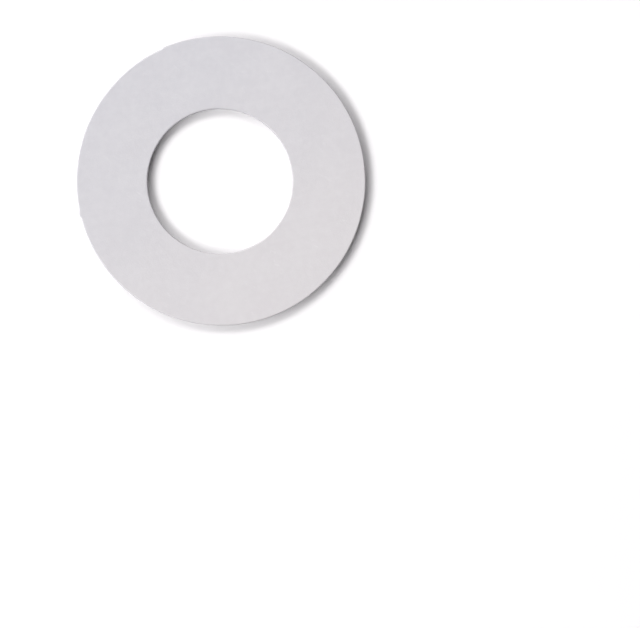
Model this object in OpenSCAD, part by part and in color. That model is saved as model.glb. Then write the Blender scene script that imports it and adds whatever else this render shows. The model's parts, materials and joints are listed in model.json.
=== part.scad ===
// Flat sealing washer for the tail of a tap, cut in one piece from pale sheet.
// The bore's axis is Z. The washer lies on its lower face, at Z = 0.

/* [Washer] */
// Outer diameter
outer_d = 43; // [30:0.5:60]
// Bore diameter, which clears the thread of a half-inch tap tail
bore_d = 21.5; // [12:0.1:28]
// Thickness of the sheet
thickness = 1.5; // [1:0.1:4]

/* [Cut edges] */
// Radius of the rolled edges on the upper face, where the cutter enters the sheet
roll_r = 0.2; // [0.05:0.01:0.4]
// Width of the broken edges on the lower face, where the cutter leaves the sheet
break_w = 0.06; // [0.02:0.01:0.15]

/* [Hidden] */
$fn = 128;
outer_r = outer_d / 2;
bore_r = bore_d / 2;
band_w = outer_r - bore_r;

// What the cutter takes off one edge, with the sheet to the left of X = 0
module edge_waste() {
    translate([-roll_r, thickness - roll_r])
        difference() {
            square(2 * roll_r);
            circle(roll_r);
        }
    rotate(45)
        square(sqrt(2) * break_w, center = true);
}

// Section of the band from the bore to the rim, rolled above and broken below at both edges
module band_section() {
    difference() {
        translate([bore_r, 0])
            square([band_w, thickness]);
        translate([outer_r, 0])
            edge_waste();
        translate([bore_r, 0])
            mirror([1, 0])
                edge_waste();
    }
}

// The washer, its section turned once about the bore's axis
module washer() {
    color("#dbd8dc")
        rotate_extrude()
            band_section();
}

washer();
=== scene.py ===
import json
import math
import random

import bpy
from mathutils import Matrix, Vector


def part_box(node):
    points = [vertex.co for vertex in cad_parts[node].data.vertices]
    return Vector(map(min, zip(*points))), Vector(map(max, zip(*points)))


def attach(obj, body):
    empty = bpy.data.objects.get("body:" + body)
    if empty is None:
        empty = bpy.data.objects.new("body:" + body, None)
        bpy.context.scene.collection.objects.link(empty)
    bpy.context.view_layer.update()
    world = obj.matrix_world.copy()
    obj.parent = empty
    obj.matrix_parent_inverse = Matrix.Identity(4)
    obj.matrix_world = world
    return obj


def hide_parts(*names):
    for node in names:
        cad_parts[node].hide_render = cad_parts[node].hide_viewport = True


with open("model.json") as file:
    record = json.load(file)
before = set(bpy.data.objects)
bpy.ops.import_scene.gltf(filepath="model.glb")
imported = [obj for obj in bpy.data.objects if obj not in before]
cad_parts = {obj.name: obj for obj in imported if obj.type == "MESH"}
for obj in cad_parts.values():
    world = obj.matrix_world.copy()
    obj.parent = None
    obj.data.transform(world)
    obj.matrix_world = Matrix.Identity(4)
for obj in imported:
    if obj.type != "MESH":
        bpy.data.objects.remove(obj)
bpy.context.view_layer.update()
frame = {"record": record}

# The washer: one flat ring of pale matte polymer sheet, blanked in a single stroke.
# The cutter rolls the upper edges over, leaves a smooth land on each wall with fine upright
# drag lines, and tears through below. The ring lies loose on its lower face.
MM = 0.001
low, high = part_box("washer")
bore_mount = next(mount for mount in frame["record"]["mounts"] if mount["name"] == "bore")
sheet_top = high.z
sheet_bottom = low.z
rim_r = high.x
bore_r = bore_mount["dims"]["r_mm"] * MM
break_w = 0.06 * MM
roll_r = sheet_top - sheet_bottom - break_w - bore_mount["dims"]["length_mm"] * MM

# How far a cut strays from a true circle, and how uneven its rolled lip and lower break are, as shares.
# Each unevenness is a sum of waves with its highest crests cut off. A range says how many of each wave
# go round the ring.
cut_stray = 0.016 * MM
stray_waves = range(2, 14)
lip_swing = 0.08
lip_waves = range(3, 40)
break_swing = 0.5
crest_limit = 1.5
bore_seed = 11
rim_seed = 31

# The torn band at the foot of a wall, set in from the land above and curving out to it at an uneven line
tear_h = 0.45 * MM
tear_swing = 0.3
tear_set_in = 0.04 * MM
tear_curve = 4
broad_tear_waves = 9
fine_tear_per_mm = 0.9
tear_stride = 4

# The drag lines on the band and on the land, which the land loses as it nears the lip. They run from
# coarse to fine, and a stride passes over most of the waves between, as it does along the tear.
tear_drag_depth = 0.02 * MM
land_drag_depth = 0.010 * MM
land_curve = 2
coarse_drag_per_mm = 0.6
fine_drag_per_mm = 3.9
drag_stride = 5

# The bore's punch ran a little off the rim's centre, a nick in the cutter left a pip on the rim, and the
# rim's cut closes with a small step: bearing, height, reach on the steep side, reach on the long side
punch_offset = (-0.17 * MM, -0.05 * MM)
rim_flaws = (
    (math.radians(-166.4), 0.20 * MM, math.radians(0.9), math.radians(1.7)),
    (math.radians(113.2), 0.13 * MM, math.radians(0.5), math.radians(12)),
)

stations = 1440
roll_steps = 10
land_steps = 5
tear_steps = 5
face_steps = 3
face_margin = 0.05 * MM


def ripple(seed, orders):
    """An unevenness round the ring, from -1 to 1 and mostly small, alike in every run."""
    draw = random.Random(seed)
    waves = [(order, draw.uniform(0, math.tau)) for order in orders]
    reach = crest_limit * math.sqrt(len(waves))

    def at(bearing):
        swing = sum(math.sin(order * bearing + phase) for order, phase in waves)
        return min(max(swing / reach, -1), 1)

    return at


def flaw_height(bearing):
    """How far the rim's flaws stand out at a bearing."""
    total = 0
    for flaw_bearing, height, steep_reach, long_reach in rim_flaws:
        turn = math.remainder(bearing - flaw_bearing, math.tau)
        reach = steep_reach if turn > 0 else long_reach
        total += height * math.exp(-((turn / reach) ** 2))
    return total


def cut_edge(seed, edge_r, outward):
    """Gives a function of the bearing: one cut edge's points (r, z), from the lower face to the upper."""
    round_mm = math.tau * edge_r / MM
    tear_waves = range(broad_tear_waves, int(fine_tear_per_mm * round_mm), tear_stride)
    drag_waves = range(int(coarse_drag_per_mm * round_mm), int(fine_drag_per_mm * round_mm), drag_stride)
    stray = ripple(seed, stray_waves)
    roll = ripple(seed + 1, lip_waves)
    land_drag = ripple(seed + 2, drag_waves)
    tear_line = ripple(seed + 3, tear_waves)
    tear_drag = ripple(seed + 4, drag_waves)
    chips = ripple(seed + 5, drag_waves)

    def at(bearing):
        line = edge_r - outward * cut_stray * (1 + stray(bearing))
        if outward > 0:
            line += flaw_height(bearing)
        lip = roll_r * (1 + lip_swing * roll(bearing))
        chip = break_w * (1 + break_swing * chips(bearing))
        torn = line - outward * (tear_set_in + tear_drag_depth * tear_drag(bearing))
        land = line - outward * land_drag_depth * (1 + land_drag(bearing))
        foot = sheet_bottom + chip
        tear_top = sheet_bottom + tear_h * (1 + tear_swing * tear_line(bearing))
        shoulder = sheet_top - lip
        edge = [(torn - outward * chip, sheet_bottom)]
        for step in range(tear_steps):
            share = step / tear_steps
            r = torn + (land - torn) * share ** tear_curve
            edge.append((r, foot + (tear_top - foot) * share))
        for step in range(land_steps):
            share = step / land_steps
            r = land + (line - land) * share ** land_curve
            edge.append((r, tear_top + (shoulder - tear_top) * share))
        for step in range(roll_steps + 1):
            lean = math.pi / 2 * step / roll_steps
            edge.append((line - outward * lip * (1 - math.cos(lean)), shoulder + lip * math.sin(lean)))
        return edge

    return at


def face_rings(start_r, end_r, height):
    """A flat face's rings between its two edges: one close to each edge, the rest even between them."""
    margin = math.copysign(face_margin, end_r - start_r)
    first = start_r + margin
    last = end_r - margin
    return [(first + (last - first) * step / face_steps, height) for step in range(face_steps + 1)]


bore_edge = cut_edge(bore_seed, bore_r, outward=-1)
rim_edge = cut_edge(rim_seed, rim_r, outward=1)
points = []
for station in range(stations):
    bearing = math.tau * station / stations
    inner = bore_edge(bearing)
    outer = rim_edge(bearing)
    upper_face = face_rings(inner[-1][0], outer[-1][0], sheet_top)
    lower_face = face_rings(outer[0][0], inner[0][0], sheet_bottom)
    section = inner + upper_face + outer[::-1] + lower_face
    for r, z in section:
        shift = min(max((rim_r - r) / (rim_r - bore_r), 0), 1)
        x = r * math.cos(bearing) + shift * punch_offset[0]
        y = r * math.sin(bearing) + shift * punch_offset[1]
        points.append((x, y, z))
ring = len(section)
faces = []
for station in range(stations):
    here = station * ring
    there = (station + 1) % stations * ring
    for step in range(ring):
        after = (step + 1) % ring
        faces.append((here + step, here + after, there + after, there + step))
washer_mesh = bpy.data.meshes.new("cut_washer")
washer_mesh.from_pydata(points, [], faces)
washer_mesh.shade_smooth()

# Its flat pattern, made for baking a finish onto: the ring is cut across twice, and the two
# halves are unrolled one above the other, a narrow gap apart
half_count = 2
half_stations = stations // half_count
pattern_gap = 0.004
section_run = [0.0]
for step in range(ring):
    stretch = Vector(points[(step + 1) % ring]) - Vector(points[step])
    section_run.append(section_run[-1] + stretch.length)
pattern = []
for station in range(stations):
    half, column = divmod(station, half_stations)
    for step in range(ring):
        for u, v in ((column, step), (column, step + 1), (column + 1, step + 1), (column + 1, step)):
            rise = pattern_gap + (1 - 2 * pattern_gap) * section_run[v] / section_run[-1]
            pattern += (u / half_stations, (half + rise) / half_count)
flat_pattern = washer_mesh.uv_layers.new(name="OFBake")
flat_pattern.uv.foreach_set("vector", pattern)
washer = bpy.data.objects.new("cut_washer", washer_mesh)
bpy.context.scene.collection.objects.link(washer)


class Strand:
    """A value, colour or vector on its way through a finish: one output of one node."""

    # The places of a Mix node's share, two colours and result, and the middle of a Noise node's range
    share_in = 0
    under_in = 6
    over_in = 7
    colour_out = 2
    noise_middle = 0.5

    def __init__(self, tree, socket=None):
        self.tree = tree
        self.socket = socket

    def node(self, kind, settings, inputs, output=0):
        """Adds a node, sets its settings, then fills or links its inputs, and gives one output."""
        made = self.tree.nodes.new(kind)
        for name, setting in settings.items():
            setattr(made, name, setting)
        for name, value in inputs.items():
            if isinstance(value, Strand):
                self.tree.links.new(value.socket, made.inputs[name])
            else:
                made.inputs[name].default_value = value
        return Strand(self.tree, made.outputs[output] if made.outputs else None)

    def maths(self, operation, *values):
        return self.node("ShaderNodeMath", {"operation": operation}, dict(enumerate(values)))

    def __add__(self, other):
        return self.maths("ADD", self, other)

    def __sub__(self, other):
        return self.maths("SUBTRACT", self, other)

    def __rsub__(self, other):
        return self.maths("SUBTRACT", other, self)

    def __mul__(self, other):
        return self.maths("MULTIPLY", self, other)

    def __abs__(self):
        return self.maths("ABSOLUTE", self)

    __radd__ = __add__
    __rmul__ = __mul__

    def axis(self, letter):
        return self.node("ShaderNodeSeparateXYZ", {}, {"Vector": self}, letter)

    def ease(self, start, end):
        """Goes smoothly from 0 to 1 as the value goes from start to end."""
        limits = {"Value": self, "From Min": start, "From Max": end}
        return self.node("ShaderNodeMapRange", {"interpolation_type": "SMOOTHSTEP"}, limits)

    def cloud(self, patch, turn=0.0, detail=2.0):
        """A soft random value about 0, in patches of a size along X, Y and Z, turned about Z."""
        grid = {"Vector": self, "Rotation": (0, 0, turn), "Scale": patch}
        patches = self.node("ShaderNodeMapping", {"vector_type": "TEXTURE"}, grid)
        noise = self.node("ShaderNodeTexNoise", {}, {"Vector": patches, "Scale": 1.0, "Detail": detail})
        return noise - self.noise_middle

    def blend(self, under, over):
        """A colour that goes from under to over as this value goes from 0 to 1."""
        inputs = {self.share_in: self, self.under_in: under, self.over_in: over}
        return self.node("ShaderNodeMix", {"data_type": "RGBA"}, inputs, self.colour_out)


# The washer's finish: dull sheet, a little cloudy, with painted shade that leaves it darker and cooler
# towards one side, a fine calendered grain, faint rolling streaks and a few hairline scuffs. Its cut walls
# and lips are deepened by painted shade, smooth on the land, and rough and whitened on the torn band, where
# the polymer was stretched. Sizes are in millimetres.
finish = bpy.data.materials.new("matte_sheet")
finish.use_nodes = True
finish.node_tree.nodes.clear()
start = Strand(finish.node_tree)
object_place = start.node("ShaderNodeTexCoord", {}, {}, "Object")
place = start.node("ShaderNodeVectorMath", {"operation": "SCALE"}, {"Vector": object_place, "Scale": 1 / MM})
facing = abs(start.node("ShaderNodeNewGeometry", {}, {}, "Normal").axis("Z"))

# Where the sheet lies flat, where it was cut, where a cut stands upright as a wall, and where that wall is
# torn, up to an uneven line. The facing is 1 where the sheet lies flat and 0 where it stands upright.
flat_facing = (0.8, 1.0)
cut_facing = (0.1, 0.95)
wall_facing = (0.05, 0.5)
tear_fade = (0.4, 0.5)
tear_fade_swing = 0.3
tear_height = place.axis("Z") + tear_fade_swing * place.cloud(patch=(0.7, 0.7, 3.0))
flat = facing.ease(*flat_facing)
cut = 1 - facing.ease(*cut_facing)
wall = 1 - facing.ease(*wall_facing)
torn = wall * (1 - tear_height.ease(*tear_fade))

# Painted shade across the sheet: a slow change from darker and cooler towards one side to lighter and warmer
# towards the other
shade_drift_bearing = math.radians(-56)
shade_drift_reach = 24
shade_drift_stray = 16
across = place.axis("X") * math.cos(shade_drift_bearing) + place.axis("Y") * math.sin(shade_drift_bearing)
painted_shade_drift = (across + shade_drift_stray * place.cloud(patch=(16, 16, 16))).ease(-shade_drift_reach, shade_drift_reach)

# The grain of the sheet and of its cut walls, from the broadest patches to the finest
rolling_bearing = math.radians(12)
haze = place.cloud(patch=(5, 5, 5))
streak = place.cloud(patch=(14, 0.4, 1), turn=rolling_bearing)
mottle = place.cloud(patch=(0.9, 0.9, 0.9), detail=3.0)
peel = place.cloud(patch=(0.45, 0.45, 0.45))
grain = place.cloud(patch=(0.13, 0.13, 0.13))
drag_lines = place.cloud(patch=(0.12, 0.12, 2.5))
tear_grain = place.cloud(patch=(0.09, 0.09, 0.14), detail=4.0)

# Hairline scuffs, drawn along the middle of long thin patches and kept to a few spots on the faces
scuff_bearing = math.radians(-38)
scuff_hairline = 0.006
scuff_spot_fade = (0.06, 0.16)
scuff_line = 1 - abs(place.cloud(patch=(9, 1.1, 3), turn=scuff_bearing)).ease(0.0, scuff_hairline)
scuff_spot = place.cloud(patch=(5, 5, 5), turn=rolling_bearing).ease(*scuff_spot_fade)
scuff = scuff_line * scuff_spot * flat

# The tone: a shaded cool grey and a lit warm grey that drift into each other as painted shade, clouded with
# white, darkened on the cuts by painted shade, and whitened on the torn band and along the scuffs, each by a
# share
shaded_cool_grey = (0.570, 0.561, 0.596, 1)
lit_warm_grey = (0.625, 0.600, 0.616, 1)
# Painted shade on the cut walls and rolled lips: the deeper grey they are darkened towards
cut_shade_grey = (0.44, 0.43, 0.46, 1)
stress_white = (0.78, 0.77, 0.78, 1)
white_share = 0.05
haze_share = 0.2
mottle_share = 0.3
streak_share = 0.1
cut_shade_share = 0.5
torn_share = 0.35
scuff_share = 0.3
clouding = white_share + haze_share * haze + mottle_share * mottle + streak_share * streak
# Painted shade: the sheet goes from the shaded cool grey on one side to the lit warm grey on the other
sheet = painted_shade_drift.blend(shaded_cool_grey, lit_warm_grey)
sheet = clouding.blend(sheet, stress_white)
# Painted shade: the cut walls and lips are darkened by a share
sheet = (cut_shade_share * cut).blend(sheet, cut_shade_grey)
sheet = (torn_share * torn).blend(sheet, stress_white)
sheet = (scuff_share * scuff).blend(sheet, stress_white)

# The dullness: uneven with the mottle and the grain, rougher where torn, smoother on a wall and in a scuff
sheet_roughness = 0.56
mottle_roughness = 0.25
grain_roughness = 0.2
torn_roughness = 0.15
wall_polish = 0.1
scuff_polish = 0.06
face_roughness = sheet_roughness + mottle_roughness * mottle + grain_roughness * grain
roughness = face_roughness + torn_roughness * torn - wall_polish * wall - scuff_polish * scuff

# The relief too fine to model: how deep the peel, grain, streaks and scuffs are, and the marks of the cut
peel_depth = 0.02
grain_depth = 0.016
streak_depth = 0.002
scuff_depth = 0.002
drag_line_depth = 0.03
tear_grain_depth = 0.05
face_relief = peel_depth * peel + grain_depth * grain + streak_depth * streak - scuff_depth * scuff
wall_relief = wall * (drag_line_depth * drag_lines) + torn * (tear_grain_depth * tear_grain)
relief = {"Strength": 1.0, "Distance": MM, "Height": face_relief + wall_relief}
bump = start.node("ShaderNodeBump", {}, relief)

polymer_ior = 1.45
dull_polymer = {"Base Color": sheet, "Roughness": roughness, "IOR": polymer_ior, "Normal": bump}
surface = start.node("ShaderNodeBsdfPrincipled", {}, dull_polymer)
start.node("ShaderNodeOutputMaterial", {}, {"Surface": surface})
washer_mesh.materials.append(finish)
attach(washer, "root")
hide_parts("washer")

# The board: a broad sheet of matt white card under the washer, swept up to a low lip all round,
# as a photographer lays a small part on a seamless ground.
board_r = 2.6
flat_rings = (0.2, 0.8)
sweep_r = 0.5
sweep_steps = 12
board_sides = 128
card_white = (0.918, 0.904, 0.915, 1)
card_roughness = 0.9
card_gloss = 0.0
board_profile = [(r, 0.0) for r in flat_rings]
for step in range(sweep_steps + 1):
    lean = math.pi / 2 * step / sweep_steps
    board_profile.append((board_r - sweep_r + sweep_r * math.sin(lean), sweep_r * (1 - math.cos(lean))))
board_points = [(0.0, 0.0, sheet_bottom)]
for r, z in board_profile:
    for side in range(board_sides):
        bearing = math.tau * side / board_sides
        board_points.append((r * math.cos(bearing), r * math.sin(bearing), sheet_bottom + z))
board_faces = [(0, 1 + side, 1 + (side + 1) % board_sides) for side in range(board_sides)]
for row in range(len(board_profile) - 1):
    here = 1 + row * board_sides
    there = here + board_sides
    for side in range(board_sides):
        after = (side + 1) % board_sides
        board_faces.append((here + side, there + side, there + after, here + after))
board_mesh = bpy.data.meshes.new("white_board")
board_mesh.from_pydata(board_points, [], board_faces)
board_mesh.shade_smooth()
board = bpy.data.objects.new("white_board", board_mesh)
bpy.context.scene.collection.objects.link(board)
card = bpy.data.materials.new("white_card")
card.use_nodes = True
card_shader = card.node_tree.nodes["Principled BSDF"]
card_shader.inputs["Base Color"].default_value = card_white
card_shader.inputs["Roughness"].default_value = card_roughness
card_shader.inputs["Specular IOR Level"].default_value = card_gloss
board_mesh.materials.append(card)

# The light: three long softboxes spread round the left, which together throw one short soft shadow
# to the right, and a faint even glow from all round. Each softbox has a bearing, a height and a power.
softboxes = {
    "left_softbox": (math.radians(175), math.radians(44), 26.1),
    "back_softbox": (math.radians(112), math.radians(48), 38.2),
    "front_softbox": (math.radians(216), math.radians(48), 37.2),
}
softbox_distance = 2.4
softbox_w = 2.4
softbox_h = 0.9
glow_colour = (1.0, 0.93, 0.98, 1)
glow_strength = 0.02
for name, (bearing, height, watts) in softboxes.items():
    light = bpy.data.lights.new(name, "AREA")
    light.shape = "RECTANGLE"
    light.size = softbox_w
    light.size_y = softbox_h
    light.energy = watts
    softbox = bpy.data.objects.new(name, light)
    level = math.cos(height)
    towards = Vector((math.cos(bearing) * level, math.sin(bearing) * level, math.sin(height)))
    softbox.location = towards * softbox_distance
    softbox.rotation_mode = "QUATERNION"
    softbox.rotation_quaternion = towards.to_track_quat("Z", "Y")
    bpy.context.scene.collection.objects.link(softbox)
glow = bpy.data.worlds.new("studio_glow")
glow.use_nodes = True
glow.node_tree.nodes["Background"].inputs["Color"].default_value = glow_colour
glow.node_tree.nodes["Background"].inputs["Strength"].default_value = glow_strength
bpy.context.scene.world = glow
bpy.context.scene.view_settings.view_transform = "Standard"

# The camera: a long lens straight above, far enough off to keep the rim's walls out of sight,
# framed so that the washer falls where the photograph has it.
photo_w = 640
photo_h = 628
washer_px = (221.0, 181.0)
washer_across_px = 289.5
focal_mm = 200
pixel = 2 * rim_r / washer_across_px
lens = bpy.data.cameras.new("long_lens")
lens.lens = focal_mm
camera = bpy.data.objects.new("long_lens", lens)
camera.location = (
    (photo_w / 2 - washer_px[0]) * pixel,
    (washer_px[1] - photo_h / 2) * pixel,
    sheet_top + photo_w * pixel * focal_mm / lens.sensor_width,
)
bpy.context.scene.collection.objects.link(camera)
bpy.context.scene.camera = camera
